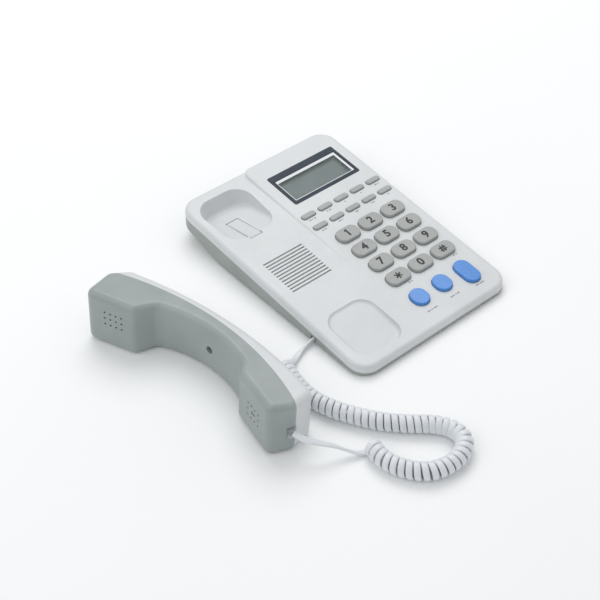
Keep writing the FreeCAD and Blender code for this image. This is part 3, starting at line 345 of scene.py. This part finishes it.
def glyph(text, x, y, z, name):
    """One printed character, a raised film a twentieth of a millimetre thick."""
    data = bpy.data.curves.new(name, "FONT")
    data.body, data.size = text, DIGIT_SIZE
    data.extrude, data.offset = DIGIT_HALF_FILM, BOLD
    data.align_x, data.align_y = "CENTER", "CENTER"
    data.resolution_u = 6
    thing = bpy.data.objects.new(name, data)
    scene.collection.objects.link(thing)
    bpy.context.view_layer.update()
    mesh = bpy.data.meshes.new_from_object(thing)
    bpy.data.objects.remove(thing)
    points = np.array([v.co for v in mesh.vertices])
    middle = (points.max(0) + points.min(0)) / 2
    mesh.transform(PANEL @ Matrix.Translation((x - middle[0], y - middle[1], z)))
    made = bpy.data.objects.new(name, mesh)
    scene.collection.objects.link(made)
    return made


def bar(x, y, z, wide, long, angle=0.0):
    """A rounded stroke on the panel, as vertices and faces."""
    ring, r = [], min(wide, long) / 2
    for k in range(SIDES):
        t = 2 * math.pi * (k + 0.5) / SIDES
        ring.append((math.copysign(wide / 2 - r, math.cos(t)) + r * math.cos(t),
                     math.copysign(long / 2 - r, math.sin(t)) + r * math.sin(t)))
    c, s = math.cos(angle), math.sin(angle)
    ring = [(x + a * c - b * s, y + a * s + b * c) for a, b in ring]
    verts = [PANEL @ Vector((a, b, level)) for level in (z, z + STROKE_FILM) for a, b in ring]
    faces = [tuple(range(SIDES, 2 * SIDES))]
    faces += [(k, (k + 1) % SIDES, SIDES + (k + 1) % SIDES, SIDES + k) for k in range(SIDES)]
    return verts, faces


for label in "1234567890":
    x, y, z = centre_of("key_" + label)
    mark = glyph(label, x, y + 0.0004, z, "digit_" + label)
    mark.data.materials.append(ink_dark)
    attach(mark, "key_" + label)

x, y, z = centre_of("key_1")
flag = join_parts("digit_1_flag", [bar(x - 0.0009, y + 0.0028, z, 0.0023, 0.0009,
                                       angle=math.radians(38))])
flag.data.materials.append(ink_dark)
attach(flag, "key_1")

x, y, z = centre_of("key_star")
LONG, THIN = 0.0066, 0.0012
star = join_parts("digit_star", [bar(x, y, z, THIN, LONG, angle=math.radians(a))
                                 for a in (0, 60, 120)])
star.data.materials.append(ink_dark)
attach(star, "key_star")

x, y, z = centre_of("key_hash")
PAIR = (-0.0011, 0.0011)
hash_mark = join_parts("digit_hash",
                       [bar(x + d, y, z, THIN, LONG, angle=math.radians(-9)) for d in PAIR] +
                       [bar(x, y + d, z + 0.00001, 0.0064, THIN) for d in PAIR])
hash_mark.data.materials.append(ink_dark)
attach(hash_mark, "key_hash")

strokes = []


def stroke_row(x, y, pattern, thick):
    """Short strokes in a row about x, on the panel; pattern holds their lengths in millimetres."""
    total = sum(pattern) + STROKE_GAP * (len(pattern) - 1)
    at = x - total / 2000
    for length in pattern:
        strokes.append(bar(at + length / 2000, y, 0, length / 1000, thick))
        at += (length + STROKE_GAP) / 1000


USES = ["store", "program", "down", "up", "delete", "mute", "lock", "pause", "alarm", "call"]
PATTERNS = [(2.4, 1.1, 1.9), (1.6, 2.6), (1.4,), (1.0,), (2.8, 1.3),
            (1.9, 2.2), (2.9, 1.0), (3.1,), (1.2, 1.8), (1.7,)]
BLUE_LABELS = [("flash_key", -0.0762 - 0.0133, (3.6, 1.2, 4.0)),
               ("redial_key", -0.0762 - 0.0133, (4.4, 1.0, 2.6)),
               ("hands_free_key", -0.0789 - 0.0136, (3.0, 4.6))]
for use, pattern in zip(USES, PATTERNS):
    x, y, _ = centre_of("function_key_" + use)
    stroke_row(x, y - 0.0047, pattern, 0.0012)
for key, level, pattern in BLUE_LABELS:
    stroke_row(centre_of(key)[0], level, pattern, 0.0011)
for key in ("key_star", "key_hash"):
    x, y, _ = centre_of(key)
    strokes += [bar(x + 0.0036, y - 0.0083, 0, 0.0016, 0.0016),
                bar(x + 0.0060, y - 0.0083, 0, 0.0010, 0.0016)]
labels = join_parts("printed_marks", strokes)
labels.data.materials.append(ink_grey)
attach(labels, "base")

OUTER_ROUND, INNER_ROUND = 0.0006, 0.0005


def border(name, plane, outer, inner, high, look):
    """A flat printed frame: outer and inner are (low x, low y, high x, high y) on the panel."""
    rings = []
    for (x0, y0, x1, y1), r in ((outer, OUTER_ROUND), (inner, INNER_ROUND)):
        ring = []
        for cx, cy, start in ((x1 - r, y1 - r, 0), (x0 + r, y1 - r, 90),
                              (x0 + r, y0 + r, 180), (x1 - r, y0 + r, 270)):
            ring += [(cx + r * math.cos(math.radians(start + a)),
                      cy + r * math.sin(math.radians(start + a))) for a in (0, 22.5, 45, 67.5, 90)]
        rings.append(ring)
    count = len(rings[0])
    verts = [PANEL @ Vector((x, y, plane + z))
             for z in (0, high) for ring in rings for x, y in ring]
    faces = []
    for k in range(count):
        n = (k + 1) % count
        faces += [(2 * count + k, 2 * count + n, 3 * count + n, 3 * count + k),
                  (k, count + k, count + n, n),
                  (k, n, 2 * count + n, 2 * count + k),
                  (count + k, 3 * count + k, 3 * count + n, count + n)]
    piece = join_parts(name, [(verts, faces)])
    piece.data.materials.append(look)
    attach(piece, "base")


def panel_box(node):
    """A node's corners in the sloped panel's own frame."""
    flat = PANEL.inverted()
    points = np.array([flat @ v.co for v in nodes[node].data.vertices])
    return points.min(0), points.max(0)


mask_white = plastic("mask_white", (226, 229, 230), (232, 235, 236), (0.5, 0.6), 2500, specular=0.2)
low, high = panel_box("display_lens")
border("display_print", high[2] + 0.00002,
       (low[0] + 0.0002, low[1] + 0.0002, high[0] - 0.0002, high[1] - 0.0002),
       (low[0] + 0.0013, low[1] + 0.0015, high[0] - 0.0008, high[1] - 0.0004),
       0.00004, LOOKS["display_frame"])
border("display_mask", high[2] + 0.00001,
       (low[0] + 0.0012, low[1] + 0.0014, high[0] - 0.0007, high[1] - 0.0003),
       (low[0] + 0.0019, low[1] + 0.0021, high[0] - 0.0028, high[1] - 0.0031),
       0.00003, mask_white)

# ---------------------------------------------------------------- floor and light
FAR = 4
floor = add_mesh("floor", [(-FAR, -FAR, 0), (FAR, -FAR, 0), (FAR, FAR, 0), (-FAR, FAR, 0)],
                 [(0, 1, 2, 3)])
floor.location.z = -0.0001
floor_mat, tree, shader = material("floor_pale")
tree.links.new(two_tone(tree, noise(tree, 3, 2), (251, 252, 252), (253, 254, 254)),
               shader.inputs["Base Color"])
shader.inputs["Roughness"].default_value = 0.9
floor.data.materials.append(floor_mat)

world = bpy.data.worlds.new("world")
world.use_nodes = True
world.node_tree.nodes["Background"].inputs["Color"].default_value = (0.975, 0.985, 1.0, 1)
world.node_tree.nodes["Background"].inputs["Strength"].default_value = 0.62
scene.world = world


def softbox(name, place, aim, size, power):
    data = bpy.data.lights.new(name, "AREA")
    data.shape, data.size, data.energy = "DISK", size, power
    thing = bpy.data.objects.new(name, data)
    thing.location = place
    thing.rotation_euler = (Vector(aim) - Vector(place)).to_track_quat("-Z", "Y").to_euler()
    scene.collection.objects.link(thing)


softbox("key_light", (0.5, 0.75, 1.5), (0, 0, 0), 1.3, 12)
softbox("fill_light", (-1.2, 0.3, 1.2), (0, 0, 0), 1.2, 4)
